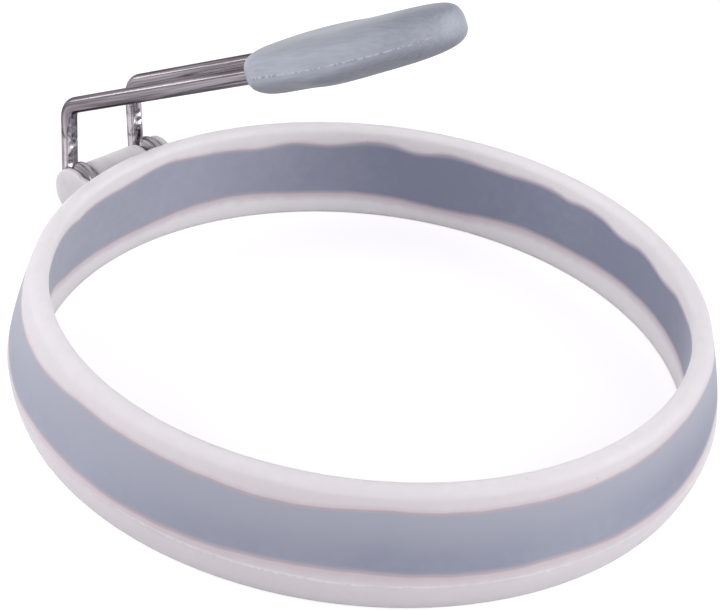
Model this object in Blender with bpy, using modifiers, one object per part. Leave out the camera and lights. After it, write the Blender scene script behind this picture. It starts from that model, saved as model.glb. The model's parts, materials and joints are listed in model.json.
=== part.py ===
"""An egg ring about four inches across: a round silicone wall in three moulded bands, with a wire handle
and a silicone grip that fold on a lug moulded to the back of the wall.

The ring stands on its foot at z = 0. The hinge axis lies along X at the back (+Y), and the handle is
modelled at the angle that the photograph shows, leaning in over the ring.
"""

import math

import bmesh
import bpy
from mathutils import Vector

# General fit
GAP = 0.0003
CUT_OVERRUN = 0.0020
MERGE_DISTANCE = 0.00001

# Ring wall, measured at the sharp corners of its section: three bands stacked from the foot up
LOWER_LIP_HEIGHT = 0.00625
BAND_HEIGHT = 0.0082
UPPER_LIP_HEIGHT = 0.00265
BELLY_RADIUS = 0.0510
BELLY_BELOW_SEAM = 0.00165
FOOT_DRAW_IN = 0.0012
TOP_DRAW_IN = 0.0032
FOOT_WALL = 0.0028
TOP_WALL = 0.00255
LIP_ROUND_SHARE = 0.51
FOOT_ROUND = 0.0005
RING_STEPS = 96
ARC_STEPS = 4

# Mould parting line, a fine bead round the belly
BEAD_PROUD = 0.00012
BEAD_HALF_HEIGHT = 0.00025

# Seams between the white lips and the coloured band, and the tongues that key them together.
# Each seam falls a little from the outside of the wall to its inside.
UPPER_SEAM_FALL = 0.00025
LOWER_SEAM_FALL = 0.00185
TONGUE_WALL = 0.0011
UPPER_TONGUE_HEIGHT = 0.0011
LOWER_TONGUE_HEIGHT = 0.0016

# Handle wire
WIRE_DIAMETER = 0.0025
WIRE_SPACING = 0.01385
EYE_WRAP = math.radians(287.5)
EYE_STEPS = 20
LEG_LENGTH = 0.0130
LEG_LEAN = math.radians(2.6)
ELBOW_TURN = math.radians(64.2)
ELBOW_RADIUS = 0.0030
RIGHT_ELBOW_OUT = 0.0011
WIRE_IN_GRIP = 0.0198
U_BEND_STEPS = 14

# Hinge lug
HINGE_ABOVE_SEAM = 0.00305
EYE_STANDOFF = 0.00045
NECK_WALL = 0.00055
BARREL_RADIUS = 0.00358
FLANGE_RADIUS = 0.00375
FLANGE_WALL = 0.0010
SHOULDER_ROUND = 0.0007
FLANGE_ROUND = 0.0004
WEB_HEIGHT = 0.0058
CHEEK_WEB_HEIGHT = 0.0066
ROOT_HEIGHT = 0.0046
ROOT_DEPTH = 0.0017
ROOT_EDGE = 0.0004
BARREL_STEPS = 32

# Hinge pin, hidden in the lug
PIN_DIAMETER = 0.0014
PIN_CAP = 0.0012
PIN_SINK = 0.0006
PIN_CHAMFER = 0.0002
PIN_STEPS = 20

# Grip
GRIP_START = 0.0392
GRIP_SIDE_WALL = 0.00133
GRIP_SKIN = 0.00245
GRIP_NOSE = 0.00872
GRIP_DROP = 0.00075
GRIP_SAG = 0.0004
GRIP_TILT = math.radians(2.45)
GRIP_FULLEST_SHARE = 0.29
PLAN_POWER = 2.3
FRONT_EDGE_POWER = 4.5
REAR_EDGE_POWER = 4.8
GRIP_RINGS = 28
GRIP_SEGMENTS = 32

# Sizes worked out from those above
RING_HEIGHT = LOWER_LIP_HEIGHT + BAND_HEIGHT + UPPER_LIP_HEIGHT
BELLY_HEIGHT = LOWER_LIP_HEIGHT - BELLY_BELOW_SEAM
LIP_ROUND = LIP_ROUND_SHARE * TOP_WALL
HINGE_HEIGHT = LOWER_LIP_HEIGHT + HINGE_ABOVE_SEAM
WIRE_RADIUS = WIRE_DIAMETER / 2
BORE_RADIUS = PIN_DIAMETER / 2 + GAP
NECK_RADIUS = BORE_RADIUS + NECK_WALL
EYE_RADIUS = NECK_RADIUS + GAP + WIRE_RADIUS
GROOVE_WIDTH = WIRE_DIAMETER + 2 * GAP
BARREL_HALF_LENGTH = WIRE_SPACING / 2 - GROOVE_WIDTH / 2
LUG_HALF_LENGTH = WIRE_SPACING / 2 + GROOVE_WIDTH / 2 + FLANGE_WALL
ARM_LENGTH = GRIP_START + WIRE_IN_GRIP
GRIP_LENGTH = WIRE_IN_GRIP + WIRE_SPACING / 2 + WIRE_RADIUS + GRIP_NOSE
GRIP_WIDTH = WIRE_SPACING + WIRE_DIAMETER + 2 * GRIP_SIDE_WALL
GRIP_THICKNESS = WIRE_DIAMETER + 2 * GRIP_SKIN


def clear_scene():
    """Removes every object, so that the script can be run again in an open file."""
    for obj in list(bpy.data.objects):
        bpy.data.objects.remove(obj, do_unlink=True)
    for group in list(bpy.data.collections):
        bpy.data.collections.remove(group)


def new_collection(name):
    group = bpy.data.collections.new(name)
    bpy.context.scene.collection.children.link(group)
    return group


def material(name, colour, roughness, metallic=0.0):
    """A Principled material; the colour is linear."""
    mat = bpy.data.materials.new(name)
    mat.use_nodes = True
    shader = mat.node_tree.nodes["Principled BSDF"]
    shader.inputs["Base Color"].default_value = (*colour, 1.0)
    shader.inputs["Roughness"].default_value = roughness
    shader.inputs["Metallic"].default_value = metallic
    mat.diffuse_color = (*colour, 1.0)
    return mat


def arc(centre, radius, start, end, steps):
    """Points on a circle arc in a plane, both ends included."""
    points = []
    for i in range(steps + 1):
        angle = start + (end - start) * i / steps
        points.append(Vector((centre[0] + radius * math.cos(angle), centre[1] + radius * math.sin(angle))))
    return points


def fillet(before, corner, after, radius, steps):
    """Arc points that round one corner of an outline."""
    corner = Vector(corner)
    back = (Vector(before) - corner).normalized()
    ahead = (Vector(after) - corner).normalized()
    half = back.angle(ahead) / 2
    middle = (back + ahead).normalized()
    centre = corner + middle * radius / math.sin(half)
    start = corner + back * radius / math.tan(half) - centre
    sweep = math.pi - 2 * half
    turn = 1 if back.x * ahead.y - back.y * ahead.x < 0 else -1
    first = math.atan2(start.y, start.x)
    return arc(centre, radius, first, first + turn * sweep, steps)


def rounded(corners):
    """Outline points from (place, rounding) pairs that run once round a closed shape."""
    points = []
    count = len(corners)
    for i, (place, radius) in enumerate(corners):
        if radius == 0:
            points.append(Vector(place))
        else:
            before = corners[i - 1][0]
            after = corners[(i + 1) % count][0]
            points.extend(fillet(before, place, after, radius, ARC_STEPS))
    return points


def add_object(name, mesh, group, mat=None):
    obj = bpy.data.objects.new(name, mesh)
    group.objects.link(obj)
    if mat:
        obj.data.materials.append(mat)
    return obj


def smooth(obj, angle=math.radians(40)):
    obj.data.shade_smooth()
    obj.data.set_sharp_from_angle(angle=angle)


def turned(name, outline, steps, group, mat=None, closed=True):
    """A profile of (radius, height) points turned about Z; it runs down its outer side."""
    bm = bmesh.new()
    verts = [bm.verts.new((p[0], 0, p[1])) for p in outline]
    for a, b in zip(verts, verts[1:]):
        bm.edges.new((a, b))
    if closed:
        bm.edges.new((verts[-1], verts[0]))
    mesh = bpy.data.meshes.new(name)
    bm.to_mesh(mesh)
    bm.free()
    obj = add_object(name, mesh, group, mat)
    screw = obj.modifiers.new("turn", "SCREW")
    screw.axis = "Z"
    screw.angle = 2 * math.pi
    screw.steps = steps
    screw.render_steps = steps
    screw.use_merge_vertices = True
    screw.merge_threshold = MERGE_DISTANCE
    screw.use_smooth_shade = True
    return obj


def box(name, low, high, group):
    """A box between two corners."""
    bpy.ops.mesh.primitive_cube_add(size=1)
    obj = bpy.context.active_object
    obj.name = name
    obj.data.name = name
    low, high = Vector(low), Vector(high)
    for vert in obj.data.vertices:
        vert.co = Vector(((high[k] - low[k]) * vert.co[k] for k in range(3)))
    obj.location = (low + high) / 2
    for other in list(obj.users_collection):
        other.objects.unlink(obj)
    group.objects.link(obj)
    return obj


def tube(name, points, radius, group, mat=None):
    """A round bar along a list of points, as a mesh with welded caps."""
    curve = bpy.data.curves.new(name, "CURVE")
    curve.dimensions = "3D"
    curve.bevel_depth = radius
    curve.bevel_resolution = 4
    curve.use_fill_caps = True
    spline = curve.splines.new("POLY")
    spline.points.add(len(points) - 1)
    for slot, place in zip(spline.points, points):
        slot.co = (*place, 1)
    curve_object = add_object(name + "_curve", curve, group)
    bpy.context.view_layer.update()
    depsgraph = bpy.context.evaluated_depsgraph_get()
    mesh = bpy.data.meshes.new_from_object(curve_object.evaluated_get(depsgraph))
    bm = bmesh.new()
    bm.from_mesh(mesh)
    bmesh.ops.remove_doubles(bm, verts=bm.verts, dist=MERGE_DISTANCE)
    bm.to_mesh(mesh)
    bm.free()
    mesh.materials.clear()
    obj = add_object(name, mesh, group, mat)
    obj.matrix_world = curve_object.matrix_world
    bpy.data.objects.remove(curve_object, do_unlink=True)
    bpy.data.curves.remove(curve)
    return obj


def combine(obj, other, operation):
    """Adds a Boolean with another object, which becomes a hidden guide."""
    boolean = obj.modifiers.new(operation.lower(), "BOOLEAN")
    boolean.operation = operation
    boolean.object = other
    boolean.solver = "EXACT"
    other.hide_render = True
    other.display_type = "WIRE"


# Ring wall


def outer_radius(height):
    """Outside of the wall: it swells from the foot to the belly, then draws in to the top."""
    if height < BELLY_HEIGHT:
        return BELLY_RADIUS - FOOT_DRAW_IN * (BELLY_HEIGHT - height) / BELLY_HEIGHT
    return BELLY_RADIUS - TOP_DRAW_IN * (height - BELLY_HEIGHT) / (RING_HEIGHT - BELLY_HEIGHT)


def inner_radius(height):
    """Inside of the wall, a plain cone."""
    foot = outer_radius(0) - FOOT_WALL
    top = outer_radius(RING_HEIGHT) - TOP_WALL
    return foot + (top - foot) * height / RING_HEIGHT


def outside(height):
    return (outer_radius(height), height)


def inside(height):
    return (inner_radius(height), height)


def seam(outside_height, inside_height, tongue_height, clearance, shift):
    """Corners of one seam, from outside to inside, with its tongue or groove.

    clearance widens the tongue's space, and shift moves the whole seam up or down.
    """
    start, end = Vector(outside(outside_height)), Vector(inside(inside_height))
    middle = (start.x + end.x) / 2
    slope = (start.y - end.y) / (start.x - end.x)
    half = TONGUE_WALL / 2 + clearance
    tip = (start.y + end.y) / 2 + tongue_height + shift
    outer_root = start.y + (middle + half - start.x) * slope + shift
    inner_root = start.y + (middle - half - start.x) * slope + shift
    return [
        (outside(start.y + shift), 0),
        ((middle + half, outer_root), 0),
        ((middle + half, tip), 0),
        ((middle - half, tip), 0),
        ((middle - half, inner_root), 0),
        (inside(end.y + shift), 0),
    ]


def upper_seam(clearance, shift):
    height = RING_HEIGHT - UPPER_LIP_HEIGHT
    return seam(height, height - UPPER_SEAM_FALL, UPPER_TONGUE_HEIGHT, clearance, shift)


def lower_seam(clearance, shift):
    height = LOWER_LIP_HEIGHT
    return seam(height, height - LOWER_SEAM_FALL, -LOWER_TONGUE_HEIGHT, clearance, shift)


def upper_lip_outline():
    corners = [(outside(RING_HEIGHT), LIP_ROUND)]
    corners += upper_seam(GAP, GAP)
    corners += [(inside(RING_HEIGHT), LIP_ROUND)]
    return rounded(corners)


def colour_band_outline():
    corners = lower_seam(0, 0)
    corners += reversed(upper_seam(0, 0))
    return rounded(corners)


def bead_corners():
    """The parting line's bead, from top to bottom."""
    above = outside(BELLY_HEIGHT + BEAD_HALF_HEIGHT)
    peak = (BELLY_RADIUS + BEAD_PROUD, BELLY_HEIGHT)
    below = outside(BELLY_HEIGHT - BEAD_HALF_HEIGHT)
    return [(above, 0), (peak, 0), (below, 0)]


def lower_lip_outline():
    corners = bead_corners()
    corners += [(outside(0), FOOT_ROUND), (inside(0), FOOT_ROUND)]
    corners += reversed(lower_seam(GAP, -GAP))
    return rounded(corners)


def make_ring(group, cutters, centre, white, blue):
    upper = turned("upper_lip", upper_lip_outline(), RING_STEPS, group, white)
    band = turned("colour_band", colour_band_outline(), RING_STEPS, group, blue)
    lower = turned("lower_lip", lower_lip_outline(), RING_STEPS, group, white)
    for obj in (upper, band, lower):
        obj.location = centre
    combine(band, root_block("lug_pocket", GAP, cutters, centre), "DIFFERENCE")


# Hinge lug


def hinge_reach():
    """From the ring's centre out to the hinge axis, which leaves the wire's eyes clear of the wall."""
    return outer_radius(HINGE_HEIGHT) + EYE_STANDOFF + EYE_RADIUS + WIRE_RADIUS


def root_block(name, clearance, group, centre):
    """The lug's root, or with a clearance the pocket for it in the wall."""
    wall_face = centre.y + outer_radius(HINGE_HEIGHT)
    half_width = BARREL_HALF_LENGTH - SHOULDER_ROUND - ROOT_EDGE + clearance
    half_height = ROOT_HEIGHT / 2 + clearance
    low = (-half_width, wall_face - ROOT_DEPTH - clearance, HINGE_HEIGHT - half_height)
    high = (half_width, wall_face + CUT_OVERRUN, HINGE_HEIGHT + half_height)
    return box(name, low, high, group)


def barrel_outline():
    """Half section along the axis: flange, groove, barrel, groove and flange, round a blind bore."""
    end = LUG_HALF_LENGTH
    groove_out = end - FLANGE_WALL
    groove_in = BARREL_HALF_LENGTH
    bore_end = PIN_CAP - end
    corners = [
        ((0, bore_end), 0),
        ((BORE_RADIUS, bore_end), 0),
        ((BORE_RADIUS, end), 0),
        ((FLANGE_RADIUS, end), FLANGE_ROUND),
        ((FLANGE_RADIUS, groove_out), 0),
        ((NECK_RADIUS, groove_out), 0),
        ((NECK_RADIUS, groove_in), 0),
        ((BARREL_RADIUS, groove_in), SHOULDER_ROUND),
        ((BARREL_RADIUS, -groove_in), SHOULDER_ROUND),
        ((NECK_RADIUS, -groove_in), 0),
        ((NECK_RADIUS, -groove_out), 0),
        ((FLANGE_RADIUS, -groove_out), 0),
        ((FLANGE_RADIUS, -end), FLANGE_ROUND),
        ((0, -end), 0),
    ]
    return rounded(corners)


def web(name, low_x, high_x, height, group, centre):
    """A web from the barrel in to the wall, between two places along the axis."""
    inner_y = centre.y + inner_radius(HINGE_HEIGHT)
    outer_y = centre.y + hinge_reach() - NECK_RADIUS
    low = (low_x, inner_y, HINGE_HEIGHT - height / 2)
    high = (high_x, outer_y, HINGE_HEIGHT + height / 2)
    return box(name, low, high, group)


def wall_cutter(group, centre):
    """The ring's outside with a gap round it, to trim the webs."""
    grown = BEAD_PROUD + GAP
    outline = [
        Vector((inner_radius(RING_HEIGHT) - CUT_OVERRUN, RING_HEIGHT + CUT_OVERRUN)),
        Vector((outer_radius(RING_HEIGHT) + GAP, RING_HEIGHT + CUT_OVERRUN)),
        Vector((outer_radius(RING_HEIGHT) + GAP, RING_HEIGHT)),
        Vector((BELLY_RADIUS + grown, BELLY_HEIGHT)),
        Vector((BELLY_RADIUS + grown, -CUT_OVERRUN)),
        Vector((inner_radius(RING_HEIGHT) - CUT_OVERRUN, -CUT_OVERRUN)),
    ]
    cutter = turned("wall_cutter", outline, RING_STEPS, group)
    cutter.location = centre
    return cutter


def make_hinge_lug(group, cutters, centre, white):
    axis = Vector((0, centre.y + hinge_reach(), HINGE_HEIGHT))
    webs = [
        web("middle_web", SHOULDER_ROUND - BARREL_HALF_LENGTH, BARREL_HALF_LENGTH - SHOULDER_ROUND,
            WEB_HEIGHT, cutters, centre),
        web("left_cheek_web", FLANGE_ROUND - LUG_HALF_LENGTH, FLANGE_WALL - LUG_HALF_LENGTH,
            CHEEK_WEB_HEIGHT, cutters, centre),
        web("right_cheek_web", LUG_HALF_LENGTH - FLANGE_WALL, LUG_HALF_LENGTH - FLANGE_ROUND,
            CHEEK_WEB_HEIGHT, cutters, centre),
    ]
    trim = wall_cutter(cutters, centre)
    lug = turned("hinge_lug", barrel_outline(), BARREL_STEPS, group, white, closed=False)
    lug.location = axis
    lug.rotation_euler = (0, math.pi / 2, 0)
    for piece in webs:
        combine(piece, trim, "DIFFERENCE")
        combine(lug, piece, "UNION")
    combine(lug, root_block("lug_root", 0, cutters, centre), "UNION")


def make_hinge_pin(group, centre, steel):
    """Steel pin in the blind bore, its open end towards +X."""
    start = PIN_CAP - LUG_HALF_LENGTH + GAP
    end = LUG_HALF_LENGTH - PIN_SINK
    bpy.ops.mesh.primitive_cylinder_add(vertices=PIN_STEPS, radius=PIN_DIAMETER / 2, depth=end - start)
    pin = bpy.context.active_object
    pin.name = "hinge_pin"
    pin.data.materials.append(steel)
    for other in list(pin.users_collection):
        other.objects.unlink(pin)
    group.objects.link(pin)
    pin.rotation_euler = (0, math.pi / 2, 0)
    pin.location = ((start + end) / 2, centre.y + hinge_reach(), HINGE_HEIGHT)
    bevel = pin.modifiers.new("chamfer", "BEVEL")
    bevel.width = PIN_CHAMFER
    bevel.segments = 1
    smooth(pin)


# Handle: places are (across, outward, up) from the hinge axis


def leg_direction():
    return Vector((math.sin(LEG_LEAN), math.cos(LEG_LEAN)))


def arm_direction():
    angle = math.pi / 2 - LEG_LEAN + ELBOW_TURN
    return Vector((math.cos(angle), math.sin(angle)))


def elbow():
    """The sharp corner where the left leg's middle line meets its arm's."""
    foot = Vector((math.cos(-LEG_LEAN), math.sin(-LEG_LEAN))) * EYE_RADIUS
    return foot + leg_direction() * LEG_LENGTH


def right_elbow():
    """The right leg's corner, which was bent a little further out along the arm."""
    return elbow() - arm_direction() * RIGHT_ELBOW_OUT


def arm_end():
    """Where both arms run into the wire's closed end."""
    return elbow() + arm_direction() * ARM_LENGTH


def side_path(corner):
    """One wire in side view, from its eye's cut end round the neck, up the leg and along the arm.

    The leg leaves the eye as the tangent that runs to the corner.
    """
    leg_start = math.atan2(corner.y, corner.x) - math.acos(EYE_RADIUS / corner.length)
    points = arc((0, 0), EYE_RADIUS, leg_start - EYE_WRAP, leg_start, EYE_STEPS)
    points += fillet(points[-1], corner, arm_end(), ELBOW_RADIUS, ARC_STEPS)
    points.append(arm_end())
    return points


def u_bend():
    """The wire's closed end, a half circle from the -X arm round to the +X arm."""
    radius = WIRE_SPACING / 2
    points = []
    for i in range(1, U_BEND_STEPS):
        angle = math.pi * i / U_BEND_STEPS
        place = arm_end() + arm_direction() * radius * math.sin(angle)
        points.append(Vector((-radius * math.cos(angle), place.x, place.y)))
    return points


def at_side(points, across):
    return [Vector((across, p.x, p.y)) for p in points]


def wire_path():
    half = WIRE_SPACING / 2
    left = side_path(elbow())
    right = side_path(right_elbow())
    return at_side(left, -half) + u_bend() + at_side(reversed(right), half)


def channel_path():
    """The part of the wire inside the grip, run out past the grip's mouth."""
    start = elbow() + arm_direction() * (GRIP_START - CUT_OVERRUN)
    half = WIRE_SPACING / 2
    return at_side([start, arm_end()], -half) + u_bend() + at_side([arm_end(), start], half)


def superellipse(share, power):
    """Half width of a unit superellipse at a share of its half length."""
    return (1 - min(1.0, abs(share)) ** power) ** (1 / power)


def make_grip(group, cutters, hinge, blue):
    """A long rounded body, wide across the two wires and thin the other way."""
    along = Vector((0, *arm_direction()))
    across = Vector((1, 0, 0))
    over = along.cross(across).normalized()
    if over.z < 0:
        over = -over
    axis = along * math.cos(GRIP_TILT) + over * math.sin(GRIP_TILT)
    up = over * math.cos(GRIP_TILT) - along * math.sin(GRIP_TILT)
    start = Vector((0, *elbow())) + along * GRIP_START - up * GRIP_DROP
    bm = bmesh.new()
    bmesh.ops.create_uvsphere(bm, u_segments=GRIP_SEGMENTS, v_segments=GRIP_RINGS, radius=1)
    for vert in bm.verts:
        share = (1 + vert.co.z) / 2
        ring = math.hypot(vert.co.x, vert.co.y)
        if share < GRIP_FULLEST_SHARE:
            reach = 1 - share / GRIP_FULLEST_SHARE
            edge_power = FRONT_EDGE_POWER
        else:
            reach = (share - GRIP_FULLEST_SHARE) / (1 - GRIP_FULLEST_SHARE)
            edge_power = REAR_EDGE_POWER
        wide = superellipse(reach, PLAN_POWER) * GRIP_WIDTH / 2
        thick = superellipse(reach, edge_power) * GRIP_THICKNESS / 2
        lift = GRIP_SAG * (2 * share - 1) ** 2
        side = Vector((vert.co.x, vert.co.y)) / ring if ring > 0 else Vector((0, 0))
        centre_line = start + axis * share * GRIP_LENGTH
        vert.co = centre_line + up * (side.y * thick + lift) + across * side.x * wide
    bmesh.ops.recalc_face_normals(bm, faces=bm.faces)
    mesh = bpy.data.meshes.new("grip")
    bm.to_mesh(mesh)
    bm.free()
    grip = add_object("grip", mesh, group, blue)
    smooth(grip)
    channel = tube("wire_channel", channel_path(), WIRE_RADIUS + GAP, cutters)
    grip.parent = hinge
    channel.parent = hinge
    combine(grip, channel, "DIFFERENCE")


def back_reach():
    """How far the handle's wire reaches behind the hinge axis."""
    points = side_path(elbow()) + side_path(right_elbow())
    return max(p.x for p in points) + WIRE_RADIUS


def main():
    clear_scene()
    group = new_collection("egg_ring")
    cutters = new_collection("cutters")
    white = material("white_silicone", (0.76, 0.73, 0.76), 0.45)
    blue = material("blue_grey_silicone", (0.22, 0.26, 0.34), 0.5)
    steel = material("polished_stainless_wire", (0.62, 0.60, 0.60), 0.18, 1.0)
    # The object's box is centred on the origin: the ring reaches forward, the handle's elbow back.
    depth_behind = hinge_reach() + back_reach()
    centre = Vector((0, (BELLY_RADIUS + BEAD_PROUD - depth_behind) / 2, 0))
    make_ring(group, cutters, centre, white, blue)
    make_hinge_lug(group, cutters, centre, white)
    make_hinge_pin(group, centre, steel)
    hinge = bpy.data.objects.new("handle_hinge", None)
    hinge.location = (0, centre.y + hinge_reach(), HINGE_HEIGHT)
    group.objects.link(hinge)
    wire = tube("handle_wire", wire_path(), WIRE_RADIUS, group, steel)
    wire.parent = hinge
    smooth(wire)
    make_grip(group, cutters, hinge, blue)


main()
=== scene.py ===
import json
import math

import bmesh
import bpy
import numpy as np
from mathutils import Matrix, Vector


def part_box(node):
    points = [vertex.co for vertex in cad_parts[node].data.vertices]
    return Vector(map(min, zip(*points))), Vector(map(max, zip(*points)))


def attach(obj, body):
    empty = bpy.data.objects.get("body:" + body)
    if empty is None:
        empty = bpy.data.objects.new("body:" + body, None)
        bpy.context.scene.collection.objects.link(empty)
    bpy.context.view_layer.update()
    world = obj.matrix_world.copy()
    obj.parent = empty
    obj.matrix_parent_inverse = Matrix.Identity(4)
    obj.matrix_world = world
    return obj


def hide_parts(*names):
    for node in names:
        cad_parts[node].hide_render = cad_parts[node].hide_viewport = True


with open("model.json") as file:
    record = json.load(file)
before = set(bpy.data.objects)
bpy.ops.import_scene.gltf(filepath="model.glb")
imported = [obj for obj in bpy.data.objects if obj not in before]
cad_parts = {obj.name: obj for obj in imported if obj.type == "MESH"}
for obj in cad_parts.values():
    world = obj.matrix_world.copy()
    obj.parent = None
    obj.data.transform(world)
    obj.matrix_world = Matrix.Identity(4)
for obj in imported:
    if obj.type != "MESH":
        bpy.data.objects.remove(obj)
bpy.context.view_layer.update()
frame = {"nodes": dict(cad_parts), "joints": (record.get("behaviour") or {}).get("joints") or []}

# Lower lip
#
# The foot of the ring: white food-grade silicone, moulded first. Its colour is painted lighter inside
# and a shade greyer outside: painted light and shade. Its wall swells up to the mould's parting line,
# a fine bead, and it stands flat in the pan on a narrow underside.

foot_low, foot_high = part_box("lower_lip")
rim_low, rim_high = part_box("upper_lip")
RING_Y = (foot_low.y + foot_high.y) / 2
WALL_TOP = rim_high.z
BEAD_PROUD = 0.00004
BEAD_HALF_HEIGHT = 0.00015
BELLY_RADIUS = foot_high.x - BEAD_PROUD
BELLY_HEIGHT = 0.0046
FOOT_DRAW_IN = 0.0012
TOP_DRAW_IN = 0.0032
FOOT_POWER = 1.8
WALL_POWER = 1.3
FOOT_WALL = 0.0028
TOP_WALL = 0.00255
FOOT_ROUND = 0.0005
BEARINGS = 720
WALL_ROWS = 12
BEAD_ROWS = 9
UNDER_ROWS = 10
FOOT_CURL_ROWS = 7
SOLE_ROWS = 6
INSIDE_ROWS = 16
SEAM_ROWS = 3
LIP_CROWD = 1.6
RIPPLE_TURNS = (23, 41, 67)
RIPPLE = 0.00002
SEAM_EDGE = math.radians(50)

bearing = np.linspace(0, 360, BEARINGS, endpoint=False)


def outer_radius(height):
    """Outside of the wall: widest at the belly, and drawn in from there to the foot and to the top by
    a power of the share of the way, so that it is upright at the belly and leans more and more."""
    below = np.clip(1 - height / BELLY_HEIGHT, 0, 1)
    above = np.clip((height - BELLY_HEIGHT) / (WALL_TOP - BELLY_HEIGHT), 0, 1)
    return BELLY_RADIUS - FOOT_DRAW_IN * below ** FOOT_POWER - TOP_DRAW_IN * above ** WALL_POWER


def inner_radius(height):
    """Inside of the wall: one straight cone from the foot to the top."""
    foot = BELLY_RADIUS - FOOT_DRAW_IN - FOOT_WALL
    top = BELLY_RADIUS - TOP_DRAW_IN - TOP_WALL
    return np.interp(height, (0, WALL_TOP), (foot, top))


def wavy(level, bumps):
    """A value at every bearing: its level plus bell-shaped bumps of (bearing, rise, width)."""
    line = np.full(BEARINGS, level)
    for place, rise, width in bumps:
        away = (bearing - place + 180) % 360 - 180
        line = line + rise * np.exp(-((away / width) ** 2))
    return line


def seam_line(level, phase, bumps):
    """Height of a seam at every bearing: wavy, with a small ripple that is a sum of sines."""
    line = wavy(level, bumps)
    for turns in RIPPLE_TURNS:
        line = line + RIPPLE * np.sin(np.radians(bearing * turns) + phase * turns)
    return line


def between(start, end, count, crowd=1):
    """Rows that run from one line to another; a crowd over 1 packs them close to the start."""
    share = np.linspace(0, 1, count)[:, None] ** crowd
    return start + (end - start) * share


def across(start, end, count):
    """Rows on a straight line between two (radius, height) rows, ends left out."""
    share = np.linspace(0, 1, count + 2)[1:-1, None]
    return tuple(a[None, :] + (b - a)[None, :] * share for a, b in zip(start, end))


def on_wall(line, radius_of):
    """A line of heights as (radius, height) on one side of the wall."""
    return radius_of(line), line


def surface(name, points, wrap_rows, wrap_columns):
    """A mesh of four-sided faces over a grid of points, joined to itself where it wraps."""
    rows, columns = points.shape[:2]
    index = np.arange(rows * columns).reshape(rows, columns)
    if wrap_rows:
        index = np.vstack([index, index[:1]])
    if wrap_columns:
        index = np.hstack([index, index[:, :1]])
    corners = (index[:-1, :-1], index[:-1, 1:], index[1:, 1:], index[1:, :-1])
    faces = np.stack(corners, -1).reshape(-1, 4)
    mesh = bpy.data.meshes.new(name)
    mesh.from_pydata(points.reshape(-1, 3).tolist(), [], faces.tolist())
    mesh.shade_smooth()
    piece = bpy.data.objects.new(name, mesh)
    bpy.context.scene.collection.objects.link(piece)
    return piece


def face_outwards(piece, merge=0.0):
    """Merges doubled points where a distance is given, and turns all faces outwards."""
    cage = bmesh.new()
    cage.from_mesh(piece.data)
    if merge:
        bmesh.ops.remove_doubles(cage, verts=cage.verts, dist=merge)
        bmesh.ops.dissolve_degenerate(cage, edges=cage.edges, dist=merge)
    bmesh.ops.recalc_face_normals(cage, faces=cage.faces)
    cage.to_mesh(piece.data)
    cage.free()


def set_layers(piece, layers):
    """Stores one number per point under each name, for the materials to read."""
    for name, values in layers.items():
        layer = piece.data.attributes.new(name, "FLOAT", "POINT")
        layer.data.foreach_set("value", values.astype(np.float32).ravel())


def ring_piece(name, radius, height, seams, painted_shades):
    """A closed ring from rows of radius and height at every bearing. Its layers are seam_away, how far
    a point is from the nearest seam, up or down its own side of the wall; seam_share, the same as a
    share of the bleed's width there; flash_glint_share, which on the mould's parting line is the share of
    painted glint on the flash there; and painted_shade_share, the share of painted light and shade, which
    runs from its inside line to its outside line through the wall. A seam is its two lines and its
    two widths, outside and inside."""
    turn = np.radians(bearing)[None, :]
    points = np.stack([radius * np.cos(turn), RING_Y + radius * np.sin(turn), height], -1)
    piece = surface(name, points, True, True)
    outward = (radius - inner_radius(height)) / (outer_radius(height) - inner_radius(height))
    outside = outward > 0.5
    # The pigment share is painted light and shade: how much of the deeper colour, from inside to outside.
    inner_painted_shade, outer_painted_shade = (line[None, :] for line in painted_shades)
    painted_shade = inner_painted_shade + (outer_painted_shade - inner_painted_shade) * np.clip(outward, 0, 1)
    beside_bead = np.clip(1 - np.abs(height - BELLY_HEIGHT) / BEAD_HALF_HEIGHT, 0, 1)
    # Where glints are painted on the flash: painted highlights.
    flash = outside * beside_bead * flash_glint[None, :]
    away = np.full(height.shape, WALL_TOP)
    share = np.ones(height.shape)
    for outer_line, inner_line, outer_width, inner_width in seams:
        distance = np.abs(height - np.where(outside, outer_line[None, :], inner_line[None, :]))
        away = np.minimum(away, distance)
        width = np.where(outside, outer_width[None, :], inner_width[None, :])
        share = np.minimum(share, distance / width)
    set_layers(piece, {
        "seam_away": away, "seam_share": share, "flash_glint_share": flash, "painted_shade_share": painted_shade})
    face_outwards(piece)
    piece.data.set_sharp_from_angle(angle=SEAM_EDGE)
    return piece


def stacked(parts):
    """Joins (radius, height) row blocks into one outline."""
    radius = np.vstack([np.broadcast_to(r, (len(r), BEARINGS)) for r, h in parts])
    height = np.vstack([np.broadcast_to(h, (len(h), BEARINGS)) for r, h in parts])
    return radius, height


def linear(hex_colour):
    """An sRGB hex colour as linear red, green, blue and alpha."""
    shares = [int(hex_colour[i:i + 2], 16) / 255 for i in (1, 3, 5)]
    return [s / 12.92 if s <= 0.04045 else ((s + 0.055) / 1.055) ** 2.4 for s in shares] + [1.0]


def add(tree, kind, inputs=None, **settings):
    """Adds a node with its settings, and sets or links its inputs."""
    made = tree.nodes.new(kind)
    for name, value in settings.items():
        setattr(made, name, value)
    for name, value in (inputs or {}).items():
        if isinstance(value, bpy.types.NodeSocket):
            tree.links.new(value, made.inputs[name])
        else:
            made.inputs[name].default_value = value
    return made


def new_material(name):
    mat = bpy.data.materials.new(name)
    mat.use_nodes = True
    mat.node_tree.nodes.clear()
    return mat, mat.node_tree


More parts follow.
